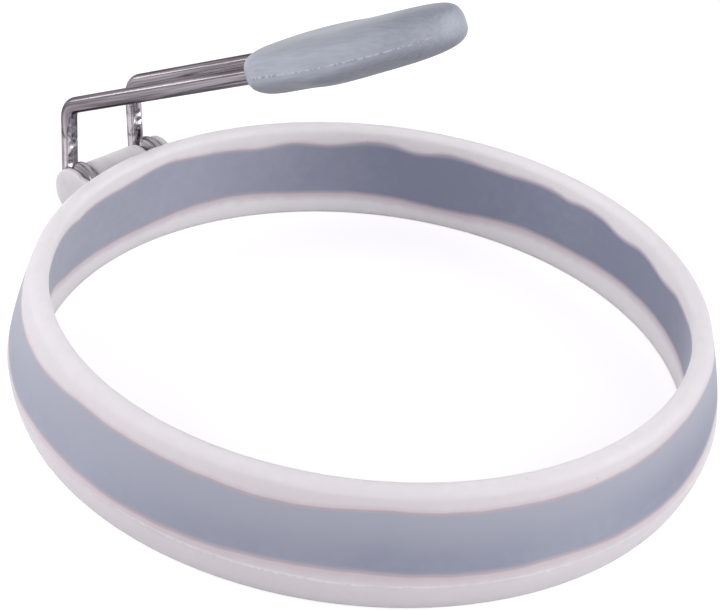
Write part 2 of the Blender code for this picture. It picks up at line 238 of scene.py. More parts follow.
SILICONE_IOR = 1.41
SCATTER_COLOUR_SHARES = (1.0, 1.0, 1.0)
SCATTER_RISE = 0.8
SEAM_SCATTER_SHARE = 0.02
ROUGH_SWING = 0.05
CLOUD_SIZE = 0.011
MOTTLE_SIZE = 0.0016
MOULD_GRAIN = 0.00040
GRAIN_DEPTH = 0.000005
STREAK_SIZE = (0.0004, 0.0050, 0.0004)
DASH_SIZE = 0.0007
SPECK_SPACING = 0.0055
SPECK_SIZE_SHARE = 0.022
SPECK_STRENGTH = 0.7
SPECK_COLOUR = "#77737C"
FRINGE_WIDTH = 0.0003
FRINGE_COLOUR = "#C4B6BE"


def silicone(name, colours, rough, scatter_weight, scatter_depth, flash_glint_colours=None, seam_colour=None,
             streak_turn=None, pigment_noise=None):
    """Moulded silicone rubber: satin from the blasted mould, clouded and mottled between two near
    colours, a little translucent, with specks of the dust that it draws. The blasting is drawn as a
    grain of 0.4 mm, about ten times the real one, which would be too fine to show. On the thin flash
    of a parting line, paler and deeper dashes are painted as its glints: painted highlights. Towards a
    seam the colour shifts to that of the bled pigment, with a thin pinkish fringe at the seam itself,
    and less light gets through. Where pigment_noise is given, the two colours follow the
    painted_shade_share layer, which is painted light and shade, made uneven at random by that much."""
    mat, tree = new_material(name)
    place = add(tree, "ShaderNodeTexCoord").outputs["Object"]
    cloud = add(tree, "ShaderNodeTexNoise", {"Vector": place, "Scale": 1 / CLOUD_SIZE, "Detail": 3.0})
    mottle = add(tree, "ShaderNodeTexNoise", {"Vector": place, "Scale": 1 / MOTTLE_SIZE, "Detail": 2.0})
    fine = mottle.outputs["Fac"]
    if streak_turn is not None:
        lay = add(tree, "ShaderNodeMapping", {"Vector": place, "Rotation": (streak_turn, 0, 0),
                  "Scale": STREAK_SIZE}, vector_type="TEXTURE")
        streaks = add(tree, "ShaderNodeTexNoise", {"Vector": lay.outputs["Vector"], "Scale": 1.0,
                      "Detail": 3.0})
        fine = streaks.outputs["Fac"]
    uneven = add(tree, "ShaderNodeMath", {0: cloud.outputs["Fac"], 1: fine}, operation="ADD")
    shade = add(tree, "ShaderNodeMapRange", {"Value": uneven.outputs[0], "From Min": 0.75,
                "From Max": 1.25}).outputs["Result"]
    if pigment_noise:
        # This layer paints light and shade into the colour.
        painted_shade = add(tree, "ShaderNodeAttribute", attribute_name="painted_shade_share").outputs["Fac"]
        shift = add(tree, "ShaderNodeMapRange", {"Value": shade, "To Min": -pigment_noise,
                    "To Max": pigment_noise})
        shade = add(tree, "ShaderNodeMath", {0: painted_shade, 1: shift.outputs["Result"]}, operation="ADD",
                    use_clamp=True).outputs[0]
    base = add(tree, "ShaderNodeMix", {0: shade, 6: linear(colours[0]), 7: linear(colours[1])},
               data_type="RGBA")
    depth = scatter_depth
    if seam_colour:
        share = add(tree, "ShaderNodeAttribute", attribute_name="seam_share").outputs["Fac"]
        patch = add(tree, "ShaderNodeMapRange", {"Value": fine, "From Min": 0.3, "From Max": 0.7,
                    "To Min": 0.85, "To Max": 1.1})
        clear = add(tree, "ShaderNodeMapRange", {"Value": share, "From Max": patch.outputs["Result"]},
                    interpolation_type="SMOOTHSTEP")
        base = add(tree, "ShaderNodeMix", {0: clear.outputs["Result"], 6: linear(seam_colour),
                   7: base.outputs[2]}, data_type="RGBA")
        away = add(tree, "ShaderNodeAttribute", attribute_name="seam_away").outputs["Fac"]
        fringe = add(tree, "ShaderNodeMapRange", {"Value": away, "From Max": FRINGE_WIDTH},
                     interpolation_type="SMOOTHSTEP")
        base = add(tree, "ShaderNodeMix", {0: fringe.outputs["Result"], 6: linear(FRINGE_COLOUR),
                   7: base.outputs[2]}, data_type="RGBA")
        lit = add(tree, "ShaderNodeMapRange", {"Value": away, "From Max": scatter_depth * SCATTER_RISE,
                  "To Min": scatter_depth * SEAM_SCATTER_SHARE, "To Max": scatter_depth})
        depth = lit.outputs["Result"]
    dust = add(tree, "ShaderNodeTexVoronoi", {"Vector": place, "Scale": 1 / SPECK_SPACING})
    speck = add(tree, "ShaderNodeMapRange", {"Value": dust.outputs["Distance"],
                "From Max": SPECK_SIZE_SHARE, "To Min": SPECK_STRENGTH, "To Max": 0.0})
    base = add(tree, "ShaderNodeMix", {0: speck.outputs["Result"], 6: base.outputs[2],
               7: linear(SPECK_COLOUR)}, data_type="RGBA")
    # The flash's paler and deeper dashes are painted glints: painted highlights.
    if flash_glint_colours:
        flash = add(tree, "ShaderNodeAttribute", attribute_name="flash_glint_share").outputs["Fac"]
        broken = add(tree, "ShaderNodeTexNoise", {"Vector": place, "Scale": 1 / DASH_SIZE, "Detail": 1.0})
        dash = add(tree, "ShaderNodeMapRange", {"Value": broken.outputs["Fac"], "From Min": 0.44,
                   "From Max": 0.56})
        line = add(tree, "ShaderNodeMix", {0: dash.outputs["Result"], 6: linear(flash_glint_colours[0]),
                   7: linear(flash_glint_colours[1])}, data_type="RGBA")
        base = add(tree, "ShaderNodeMix", {0: flash, 6: base.outputs[2], 7: line.outputs[2]},
                   data_type="RGBA")
    grain = add(tree, "ShaderNodeTexNoise", {"Vector": place, "Scale": 1 / MOULD_GRAIN, "Detail": 4.0})
    bump = add(tree, "ShaderNodeBump", {"Height": grain.outputs["Fac"], "Strength": 0.5,
               "Distance": GRAIN_DEPTH})
    satin = add(tree, "ShaderNodeMapRange", {"Value": cloud.outputs["Fac"], "To Min": rough - ROUGH_SWING,
                "To Max": rough + ROUGH_SWING})
    shader = add(tree, "ShaderNodeBsdfPrincipled", {
        "Base Color": base.outputs[2], "Roughness": satin.outputs["Result"], "IOR": SILICONE_IOR,
        "Subsurface Weight": scatter_weight, "Subsurface Scale": depth,
        "Subsurface Radius": SCATTER_COLOUR_SHARES, "Normal": bump.outputs["Normal"]})
    add(tree, "ShaderNodeOutputMaterial", {"Surface": shader.outputs["BSDF"]})
    return mat


# Each wave of a seam is its bearing in degrees, its rise in metres and its half width in degrees. A
# wave of the flash's painted glints or of the painted shade is the same, but its rise is a share. The
# glints painted on the flash are mostly at the front: painted highlights.
LOWER_SEAM_OUTSIDE = 0.00605
LOWER_SEAM_INSIDE = 0.00537
LOWER_OUTSIDE_WAVES = (
    (153, -0.0006, 8.5), (186, -0.00045, 22), (216, 0.0005, 14.5), (251, 0.0003, 6.5), (300, 0.0019, 17))
LOWER_INSIDE_WAVES = (
    (12, 0.0013, 11.5), (20, -0.0024, 22), (56, -0.00105, 13), (94, -0.0015, 19), (127, 0.0017, 7.5))
# Where the flash's painted glints show, by bearing: painted highlights, mostly at the front.
FLASH_GLINT_LEVEL = 0.1
FLASH_GLINT_WAVES = ((210, 0.9, 23), (250, 0.8, 3.5), (75, 0.7, 25), (130, 0.6, 12))
FOOT_BLEED = 0.0020
RIM_BLEED = 0.0009
WHITE_SCATTER = 0.0030
PIGMENT_NOISE = 0.10

lower_outside = seam_line(LOWER_SEAM_OUTSIDE, 0.3, LOWER_OUTSIDE_WAVES)
lower_inside = seam_line(LOWER_SEAM_INSIDE, 1.1, LOWER_INSIDE_WAVES)
flash_glint = wavy(FLASH_GLINT_LEVEL, FLASH_GLINT_WAVES)
foot_bleed = wavy(FOOT_BLEED, ())
rim_bleed = wavy(RIM_BLEED, ())
# The first colour, inside, is painted lighter and the second, outside, greyer: painted light and shade.
white_silicone = silicone(
    "white_platinum_silicone", ("#F6F1F5", "#E6E1E6"), 0.45, 1.0, WHITE_SCATTER,
    flash_glint_colours=("#E4DFE4", "#F8F5F8"), seam_colour="#DBCFD7", pigment_noise=PIGMENT_NOISE)


def lower_lip_rows():
    """Outline from the outer seam down over the bead and foot, and up inside to the inner seam."""
    flat = np.ones((1, BEARINGS))
    wall = between(lower_outside, (BELLY_HEIGHT + BEAD_HALF_HEIGHT) * flat, WALL_ROWS, LIP_CROWD)
    turn = np.linspace(0, math.pi, BEAD_ROWS)[1:-1, None] * flat
    bead = BELLY_HEIGHT + BEAD_HALF_HEIGHT * np.cos(turn)
    under = between((BELLY_HEIGHT - BEAD_HALF_HEIGHT) * flat, FOOT_ROUND * flat, UNDER_ROWS)
    curl = np.linspace(0, math.pi / 2, FOOT_CURL_ROWS)[1:, None] * flat
    curl_height = FOOT_ROUND * (1 - np.sin(curl))
    curl_in = FOOT_ROUND * (1 - np.cos(curl))
    foot_out = outer_radius(0) - FOOT_ROUND
    foot_in = inner_radius(0) + FOOT_ROUND
    sole = np.linspace(foot_out, foot_in, SOLE_ROWS)[1:, None] * flat
    back_height = curl_height[::-1][1:]
    inside = between(lower_inside, FOOT_ROUND * flat, INSIDE_ROWS, LIP_CROWD)[::-1]
    seam = across(
        on_wall(lower_inside, inner_radius), on_wall(lower_outside, outer_radius), SEAM_ROWS)
    return stacked((
        (outer_radius(wall), wall),
        (outer_radius(bead) + BEAD_PROUD * np.sin(turn), bead),
        (outer_radius(under), under),
        (outer_radius(curl_height) - curl_in, curl_height),
        (sole, np.zeros_like(sole)),
        (inner_radius(back_height) + curl_in[::-1][1:], back_height),
        (inner_radius(inside), inside),
        seam,
    ))


radius, height = lower_lip_rows()
# Inside gets the lighter colour and outside the greyer one: painted light and shade.
white_painted_shades = (np.zeros(BEARINGS), np.ones(BEARINGS))
lower_lip = ring_piece(
    "lower_lip_wall", radius, height, [(lower_outside, lower_inside, foot_bleed, foot_bleed)],
    white_painted_shades)
lower_lip.data.materials.append(white_silicone)
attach(lower_lip, "ring")
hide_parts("lower_lip")

# Colour band
#
# The middle of the wall: blue-grey silicone, moulded on to the lips, so its edges wander by one or two
# millimetres and the two colours bleed into each other. Its colour is painted paler on the outside to
# the left, and deeper and bluer inside at the back and right: painted light and shade.

BAND_ROWS = 14
BAND_CROWD = 1.7
UPPER_SEAM_OUTSIDE = 0.0142
UPPER_SEAM_INSIDE = 0.01416
UPPER_OUTSIDE_WAVES = (
    (149, -0.00145, 22), (173, 0.0003, 6), (207, -0.0004, 11.5), (223, 0.00035, 5.5), (288, 0.00085, 20),
    (302, -0.0006, 8))
UPPER_INSIDE_WAVES = (
    (316, -0.00065, 5.5), (329, -0.0014, 7), (344, -0.0011, 5), (359, -0.0005, 2.5), (16, -0.0005, 7),
    (33, -0.00115, 4.5), (37, 0.00035, 13), (51, -0.00095, 5.5), (66, -0.00085, 6), (88, 0.0012, 7.5),
    (91, -0.0010, 14.5), (114, -0.0004, 2.5), (125, 0.0005, 8))
LOWER_BLEED = 0.0007
# The outer bleed is 7 mm wide, most of the band, so the outside is lighter at its top and darker  towards
# its bottom: partly real bleed, partly painted shade.
OUTER_BLEED_AND_SHADE = 0.0070
INNER_BLEED = 0.0006
OUTER_BLEED_AND_SHADE_WAVES = ((180, 0.0008, 20), (262, -0.0012, 14))
INNER_BLEED_WAVES = ((26, 0.0003, 4), (42, 0.0004, 5), (110, 0.0006, 12))
BAND_SCATTER = 0.0010
# Painted light and shade: paler on the outside to the left, deeper inside at the back and right.
OUTER_PAINTED_SHADE = 0.70
INNER_PAINTED_SHADE = 0.08
OUTER_PAINTED_SHADE_WAVES = ((170, -0.50, 45), (258, -0.33, 18), (290, 0.1, 20))
INNER_PAINTED_SHADE_WAVES = ((332, 1.0, 30), (29, 0.95, 31))

upper_outside = seam_line(UPPER_SEAM_OUTSIDE, 0.7, UPPER_OUTSIDE_WAVES)
upper_inside = seam_line(UPPER_SEAM_INSIDE, 1.9, UPPER_INSIDE_WAVES)
lower_bleed = wavy(LOWER_BLEED, ())
outer_bleed_and_shade = wavy(OUTER_BLEED_AND_SHADE, OUTER_BLEED_AND_SHADE_WAVES)
inner_bleed = wavy(INNER_BLEED, INNER_BLEED_WAVES)
band_silicone = silicone(
    "blue_grey_silicone", ("#ABAFBF", "#888CA2"), 0.5, 0.10, BAND_SCATTER, seam_colour="#ACAFBD",
    pigment_noise=PIGMENT_NOISE)


def colour_band_rows():
    """Outline down the outside from seam to seam, across the lower seam, and up the inside."""
    middle_out = (upper_outside + lower_outside) / 2
    middle_in = (upper_inside + lower_inside) / 2
    top = between(upper_outside, middle_out, BAND_ROWS, BAND_CROWD)
    foot = between(lower_outside, middle_out, BAND_ROWS, BAND_CROWD)[::-1][1:]
    inner_foot = between(lower_inside, middle_in, BAND_ROWS, BAND_CROWD)
    inner_top = between(upper_inside, middle_in, BAND_ROWS, BAND_CROWD)[::-1][1:]
    lower = across(
        on_wall(lower_outside, outer_radius), on_wall(lower_inside, inner_radius), SEAM_ROWS)
    upper = across(
        on_wall(upper_inside, inner_radius), on_wall(upper_outside, outer_radius), SEAM_ROWS)
    return stacked((
        (outer_radius(top), top),
        (outer_radius(foot), foot),
        lower,
        (inner_radius(inner_foot), inner_foot),
        (inner_radius(inner_top), inner_top),
        upper,
    ))


radius, height = colour_band_rows()
# The band's painted light and shade, inside and outside.
band_painted_shades = (wavy(INNER_PAINTED_SHADE, INNER_PAINTED_SHADE_WAVES), wavy(OUTER_PAINTED_SHADE, OUTER_PAINTED_SHADE_WAVES))
band = ring_piece(
    "colour_band_wall", radius, height,
    [(lower_outside, lower_inside, lower_bleed, lower_bleed),
     (upper_outside, upper_inside, outer_bleed_and_shade, inner_bleed)],
    band_painted_shades)
band.data.materials.append(band_silicone)
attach(band, "ring")
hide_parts("colour_band")

# Upper lip
#
# The rim: the same white silicone as the foot, with an almost fully rounded top edge that is soft
# to a turner's blade.

LIP_ROUND = 0.0012
RIM_CURL_ROWS = 14
RIM_INSIDE_ROWS = 14


def upper_lip_rows():
    """Outline from the outer seam up, over the rounded rim, down to the inner seam, and back across."""
    flat = np.ones((1, BEARINGS))
    outside = between(upper_outside, (WALL_TOP - LIP_ROUND) * flat, WALL_ROWS, LIP_CROWD)
    curl = np.linspace(0, math.pi / 2, RIM_CURL_ROWS)[1:, None] * flat
    curl_height = WALL_TOP - LIP_ROUND * (1 - np.sin(curl))
    curl_in = LIP_ROUND * (1 - np.cos(curl))
    back_height = curl_height[::-1]
    inside = between(
        upper_inside, (WALL_TOP - LIP_ROUND) * flat, RIM_INSIDE_ROWS, LIP_CROWD)[::-1]
    seam = across(
        on_wall(upper_inside, inner_radius), on_wall(upper_outside, outer_radius), SEAM_ROWS)
    return stacked((
        (outer_radius(outside), outside),
        (outer_radius(curl_height) - curl_in, curl_height),
        (inner_radius(back_height) + curl_in[::-1], back_height),
        (inner_radius(inside), inside),
        seam,
    ))


radius, height = upper_lip_rows()
upper_lip = ring_piece(
    "upper_lip_wall", radius, height, [(upper_outside, upper_inside, rim_bleed, rim_bleed)],
    white_painted_shades)
upper_lip.data.materials.append(white_silicone)
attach(upper_lip, "ring")
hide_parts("upper_lip")

# Hinge lug
#
# A white silicone block moulded to the back of the wall. Its barrel has a groove for each eye of the
# wire and a thin flange outside each groove, and webs tie the barrel and the flanges to the wall.

hinge = frame["joints"][0]
HINGE = Vector(hinge["pos_m"])
lug_low, lug_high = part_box("hinge_lug")
pin_low, pin_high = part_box("hinge_pin")
GAP = 0.0003
WIRE_RADIUS = 0.00125
WIRE_SPACING = 0.01385
LUG_END = lug_high.x
FLANGE_RADIUS = lug_high.y - HINGE.y
FLANGE_WALL = 0.0010
NECK_RADIUS = 0.00155
BARREL_RADIUS = 0.00358
SHOULDER_ROUND = 0.0009
BORE_RADIUS = (pin_high.z - pin_low.z) / 2 + GAP
BORE_END = pin_low.x - GAP
GROOVE_OUT = LUG_END - FLANGE_WALL
GROOVE_IN = WIRE_SPACING - GROOVE_OUT
WEB_HALF_HEIGHT = 0.0029
CHEEK_HALF_HEIGHT = 0.0033
WEB_FLARE = 0.0007
CHEEK_FLARE = 0.0003
WEB_START = 0.0017
LUG_SEGMENTS = 128
SHOULDER_ROWS = 10
FLARE_ROWS = 12
MELT_STEP = 0.00012
MELT_PASSES = 6
MERGE_DISTANCE = 0.0000001
LUG_SCATTER = 0.0030


def arc(x, y, radius, start, end, count):
    """Points of a round stretch, at equal angles from start to end in degrees."""
    turn = np.radians(np.linspace(start, end, count))
    return np.stack([x + radius * np.cos(turn), y + radius * np.sin(turn)], -1)


def barrel_outline():
    """Half section along the axis as (along, radius), from the closed end round to the open bore."""
    shoulder = GROOVE_IN - SHOULDER_ROUND
    body = BARREL_RADIUS - SHOULDER_ROUND
    return np.vstack([
        [(-LUG_END, 0), (-LUG_END, FLANGE_RADIUS), (-GROOVE_OUT, FLANGE_RADIUS)],
        [(-GROOVE_OUT, NECK_RADIUS), (-GROOVE_IN, NECK_RADIUS)],
        arc(-shoulder, body, SHOULDER_ROUND, 180, 90, SHOULDER_ROWS),
        arc(shoulder, body, SHOULDER_ROUND, 90, 0, SHOULDER_ROWS),
        [(GROOVE_IN, NECK_RADIUS), (GROOVE_OUT, NECK_RADIUS)],
        [(GROOVE_OUT, FLANGE_RADIUS), (LUG_END, FLANGE_RADIUS)],
        [(LUG_END, BORE_RADIUS), (BORE_END, BORE_RADIUS), (BORE_END, 0)],
    ])


def turned_on_hinge(name, outline):
    """An (along, radius) outline turned round the hinge axis."""
    turn = np.linspace(0, 2 * math.pi, LUG_SEGMENTS, endpoint=False)[None, :]
    along = outline[:, :1] + np.zeros((1, LUG_SEGMENTS))
    radius = outline[:, 1:]
    outward = HINGE.y + radius * np.cos(turn)
    rise = HINGE.z + radius * np.sin(turn)
    return surface(name, np.stack([HINGE.x + along, outward, rise], -1), False, True)


def web(name, middle, half_width, half_height, flare):
    """A bar from beside the hinge axis in to the wall, its section growing in a quarter circle at the
    wall by the flare."""
    wall = RING_Y + outer_radius(HINGE.z)
    end = RING_Y + (outer_radius(HINGE.z) + inner_radius(HINGE.z)) / 2
    along = np.concatenate([[HINGE.y - WEB_START], np.linspace(wall + flare, wall, FLARE_ROWS), [end]])
    near = np.clip((wall + flare - along) / flare, 0, 1)
    growth = flare * (1 - np.sqrt(1 - near ** 2))
    side = np.array([(1, 1), (-1, 1), (-1, -1), (1, -1)])
    width = side[:, 0][None, :] * (half_width + growth[:, None])
    depth = side[:, 1][None, :] * (half_height + growth[:, None])
    points = np.stack([middle + width, along[:, None] + np.zeros_like(width), HINGE.z + depth], -1)
    first = points[:1].mean(1, keepdims=True) + np.zeros_like(points[:1])
    last = points[-1:].mean(1, keepdims=True) + np.zeros_like(points[:1])
    return surface(name, np.vstack([first, points, last]), False, True)


def melted(name, parts):
    """Joins overlapping closed parts into one even skin, and smooths it, which rounds every corner
    and fills every inner corner as a mould cut with a small round tool does."""
    cage = bmesh.new()
    for part in parts:
        face_outwards(part, MERGE_DISTANCE)
        cage.from_mesh(part.data)
        bpy.data.objects.remove(part)
    mesh = bpy.data.meshes.new(name)
    cage.to_mesh(mesh)
    cage.free()
    piece = bpy.data.objects.new(name, mesh)
    bpy.context.scene.collection.objects.link(piece)
    skin = piece.modifiers.new("skin", "REMESH")
    skin.mode = "VOXEL"
    skin.voxel_size = MELT_STEP
    skin.use_smooth_shade = True
    soften = piece.modifiers.new("soften", "SMOOTH")
    soften.factor = 0.5
    soften.iterations = MELT_PASSES
    return piece


CHEEK_MIDDLE = LUG_END - FLANGE_WALL / 2
lug = melted("hinge_lug_moulding", [
    turned_on_hinge("barrel", barrel_outline()),
    web("barrel_web", 0, GROOVE_IN - SHOULDER_ROUND, WEB_HALF_HEIGHT, WEB_FLARE),
    web("left_cheek", -CHEEK_MIDDLE, FLANGE_WALL / 2, CHEEK_HALF_HEIGHT, CHEEK_FLARE),
    web("right_cheek", CHEEK_MIDDLE, FLANGE_WALL / 2, CHEEK_HALF_HEIGHT, CHEEK_FLARE),
])
lug_silicone = silicone("white_lug_silicone", ("#ECE8EB", "#E4DFE3"), 0.42, 1.0, LUG_SCATTER)
lug.data.materials.append(lug_silicone)
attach(lug, "ring")
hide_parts("hinge_lug")

# Handle wire
#
# One length of polished stainless wire, drawn to 2.5 mm and bent cold: an open eye at each end, a
# short leg, a tight elbow and a long arm, with the closed end buried in the grip.

EYE_RADIUS = NECK_RADIUS + GAP + WIRE_RADIUS
EYE_WRAP = 287.5
LEG_LENGTH = 0.0130
LEG_LEAN = math.radians(2.6)
ELBOW_TURN = math.radians(64.2)
ELBOW_RADIUS = 0.0030
RIGHT_ELBOW_OUT = 0.0011
GRIP_START = 0.0392
WIRE_IN_GRIP = 0.0198
WIRE_STEP = 0.0003
WIRE_SEGMENTS = 40
END_ROUND = 0.0004
END_ROWS = 7
BENT_FADE = 0.0025

LEG_DIRECTION = np.array((math.sin(LEG_LEAN), math.cos(LEG_LEAN)))
ARM_ANGLE = math.pi / 2 - LEG_LEAN + ELBOW_TURN
ARM_DIRECTION = np.array((math.cos(ARM_ANGLE), math.sin(ARM_ANGLE)))
LEFT_ELBOW = EYE_RADIUS * np.array((math.cos(LEG_LEAN), -math.sin(LEG_LEAN))) + LEG_LENGTH * LEG_DIRECTION
RIGHT_ELBOW = LEFT_ELBOW - RIGHT_ELBOW_OUT * ARM_DIRECTION
ARM_END = LEFT_ELBOW + (GRIP_START + WIRE_IN_GRIP) * ARM_DIRECTION


def round_stretch(centre, radius, start, end):
    """Points about a step apart on an arc, in (outward, up) from the hinge axis; angles in radians."""
    count = max(4, int(abs(end - start) * radius / WIRE_STEP))
    turn = np.linspace(start, end, count)
    return np.stack([centre[0] + radius * np.cos(turn), centre[1] + radius * np.sin(turn)], -1)


def straight_stretch(start, end):
    """Points about a step apart between two places, both left out."""
    count = max(2, int(np.hypot(*(end - start)) / WIRE_STEP))
    share = np.linspace(0, 1, count + 1)[1:-1, None]
    return start + (end - start) * share


def side_path(elbow):
    """One side of the wire from its eye's cut end, round the neck, up the leg and along the arm."""
    leg_angle = math.atan2(elbow[1], elbow[0]) - math.acos(EYE_RADIUS / np.hypot(*elbow))
    eye = round_stretch((0, 0), EYE_RADIUS, leg_angle - math.radians(EYE_WRAP), leg_angle)
    leg = (elbow - eye[-1]) / np.hypot(*(elbow - eye[-1]))
    half_turn = math.acos(float(leg @ ARM_DIRECTION)) / 2
    reach = ELBOW_RADIUS * math.tan(half_turn)
    start = elbow - leg * reach
    end = elbow + ARM_DIRECTION * reach
    centre = start + ELBOW_RADIUS * np.array((-leg[1], leg[0]))
    first = math.atan2(*(start - centre)[::-1])
    bend = round_stretch(centre, ELBOW_RADIUS, first, first + 2 * half_turn)
    arm = straight_stretch(end, ARM_END)
    return np.vstack([eye, straight_stretch(eye[-1], start), bend, arm, [ARM_END]])


def closed_end():
    """The half circle that joins the arms inside the grip, as (across, outward, up)."""
    radius = WIRE_SPACING / 2
    turn = np.linspace(0, math.pi, int(math.pi * radius / WIRE_STEP))[1:-1]
    place = ARM_END + radius * np.sin(turn)[:, None] * ARM_DIRECTION
    return np.column_stack([-radius * np.cos(turn), place])


def wire_path():
    """The wire's middle line from eye to eye, in the frame."""
    half = WIRE_SPACING / 2
    left = side_path(LEFT_ELBOW)
    right = side_path(RIGHT_ELBOW)[::-1]
    line = np.vstack([
        np.column_stack([np.full(len(left), -half), left]),
        closed_end(),
        np.column_stack([np.full(len(right), half), right])])
    return line + np.array(HINGE)


def carried_frame(path):
    """Unit vectors along the path and two square to it. Each side lies in an upright plane, so there
    the first is straight across; the closed end lies in the arms' plane, so there it turns with the
    path about that plane's normal."""
    along = np.gradient(path, axis=0)
    along /= np.linalg.norm(along, axis=1)[:, None]
    normal = np.cross((0, *ARM_DIRECTION), (1, 0, 0))
    beside = path[:, :1] - HINGE.x
    across_ring = np.where(beside < 0, 1, -1) * np.array([(1, 0, 0)])
    in_closed_end = np.abs(beside) < (WIRE_SPACING - WIRE_STEP / 10) / 2
    first = np.where(in_closed_end, np.cross(normal, along), across_ring)
    return along, first, np.cross(along, first)


def make_wire():
    """A round section carried along the wire's path, its two cut ends slightly rounded over."""
    path = wire_path()
    along, first, second = carried_frame(path)
    length = np.concatenate([[0], np.cumsum(np.linalg.norm(np.diff(path, axis=0), axis=1))])
    curl = np.linspace(0, math.pi / 2, END_ROWS - 1)
    end_in = END_ROUND * (1 - np.sin(curl))
    end_radius = WIRE_RADIUS - END_ROUND * (1 - np.cos(curl))
    rise = np.concatenate([[0], end_in[::-1]])[:, None]
    fall = np.concatenate([end_in, [0]])[:, None]
    inner = slice(2, len(path) - 2)
    middle = np.vstack([path[0] + rise * along[0], path[inner], path[-1] - fall * along[-1]])
    full = np.full(len(path[inner]), WIRE_RADIUS)
    radius = np.concatenate([[0], end_radius[::-1], full, end_radius, [0]])
    side, over = (
        np.vstack([np.repeat(way[:1], END_ROWS, 0), way[inner], np.repeat(way[-1:], END_ROWS, 0)])
        for way in (first, second))
    turn = np.linspace(0, 2 * math.pi, WIRE_SEGMENTS, endpoint=False)[None, :, None]
    points = middle[:, None, :] + radius[:, None, None] * (
        np.cos(turn) * side[:, None, :] + np.sin(turn) * over[:, None, :])
    lengths = np.concatenate([np.zeros(END_ROWS), length[inner], np.full(END_ROWS, length[-1])])
    piece = surface("handle_wire_bend", points, False, True)
    flat = np.zeros((len(lengths), WIRE_SEGMENTS))
    inward = (middle - np.array(HINGE))[:, 1:] @ ARM_DIRECTION - LEFT_ELBOW @ ARM_DIRECTION
    bent = np.clip(-inward / BENT_FADE, 0, 1)
    layers = {"wire_length": lengths[:, None] + flat, "wire_turn": np.cos(turn[..., 0]) + flat,
              "wire_roll": np.sin(turn[..., 0]) + flat, "wire_bent": bent[:, None] + flat}
    set_layers(piece, layers)
    face_outwards(piece, MERGE_DISTANCE)
    return piece


DRAW_LENGTH = 0.016
DRAW_WIDTH = 0.00035
DRAW_DEPTH = 0.000002
DENT_SIZE = 0.0023
DENT_DEPTH = 0.0014
ARM_DENT_SHARE = 0.01


def drawn_stainless():
    """Drawn and polished stainless wire: die lines along it, brighter and duller by turns, drawn as
    wide as 0.35 mm because the real ones are too fine to show. Its colours are darker than steel's own,
    which stands in for a dark surround mirrored in it: painted shade. Where it was bent, small dents
    break up what it mirrors, and its colour is painted lighter there: painted light. Its edge tint
    darkens what it mirrors at a glancing angle, which paints dark edges: painted shade."""
    mat, tree = new_material("drawn_polished_stainless")
    length = add(tree, "ShaderNodeAttribute", attribute_name="wire_length").outputs["Fac"]
    turn = add(tree, "ShaderNodeAttribute", attribute_name="wire_turn").outputs["Fac"]
    roll = add(tree, "ShaderNodeAttribute", attribute_name="wire_roll").outputs["Fac"]
    place = add(tree, "ShaderNodeCombineXYZ", {"X": length, "Y": turn, "Z": roll})
    lines = add(tree, "ShaderNodeMapping", {"Vector": place.outputs["Vector"], "Scale": (
        1 / DRAW_LENGTH, WIRE_RADIUS / DRAW_WIDTH, WIRE_RADIUS / DRAW_WIDTH)})
    die = add(tree, "ShaderNodeTexNoise", {"Vector": lines.outputs["Vector"], "Scale": 1.0,
              "Detail": 2.0})
    dents = add(tree, "ShaderNodeTexNoise", {"Vector": add(tree, "ShaderNodeTexCoord").outputs["Object"],
                "Scale": 1 / DENT_SIZE, "Detail": 1.0})
    bent = add(tree, "ShaderNodeAttribute", attribute_name="wire_bent").outputs["Fac"]
    depth = add(tree, "ShaderNodeMapRange", {"Value": bent, "To Min": ARM_DENT_SHARE})
    wave = add(tree, "ShaderNodeBump", {"Height": dents.outputs["Fac"],
               "Strength": depth.outputs["Result"], "Distance": DENT_DEPTH})
    bump = add(tree, "ShaderNodeBump", {"Height": die.outputs["Fac"], "Strength": 1.0,
               "Distance": DRAW_DEPTH, "Normal": wave.outputs["Normal"]})
    bright = add(tree, "ShaderNodeMapRange", {"Value": die.outputs["Fac"], "From Min": 0.38,
                 "From Max": 0.62})
    # Colours darker than steel's own are painted shade, and the lighter ones where it was bent are
    # painted light.
    base = add(tree, "ShaderNodeMix", {0: bright.outputs["Result"], 6: linear("#6C676C"),
               7: linear("#A09A9F")}, data_type="RGBA")
    bent_painted_light = add(tree, "ShaderNodeMix", {0: bright.outputs["Result"], 6: linear("#8A8489"),
                 7: linear("#CDC8CC")}, data_type="RGBA")
    base = add(tree, "ShaderNodeMix", {0: bent, 6: base.outputs[2], 7: bent_painted_light.outputs[2]},
               data_type="RGBA")
    rough = add(tree, "ShaderNodeMapRange", {"Value": die.outputs["Fac"], "To Min": 0.10, "To Max": 0.24})
    # The edge tint darkens glancing reflections into dark edges: painted shade.
    shader = add(tree, "ShaderNodeBsdfPrincipled", {
        "Base Color": base.outputs[2], "Metallic": 1.0, "Roughness": rough.outputs["Result"],
        "Specular Tint": linear("#9A969A"), "Normal": bump.outputs["Normal"]})
    add(tree, "ShaderNodeOutputMaterial", {"Surface": shader.outputs["BSDF"]})
    return mat


wire = make_wire()
stainless = drawn_stainless()
wire.data.materials.append(stainless)
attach(wire, "handle")
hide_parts("handle_wire")

# Hinge pin
#
# A short length of ground steel rod pressed into the lug from its right end, which keeps the soft
# barrel round. Only its end shows in the bore.


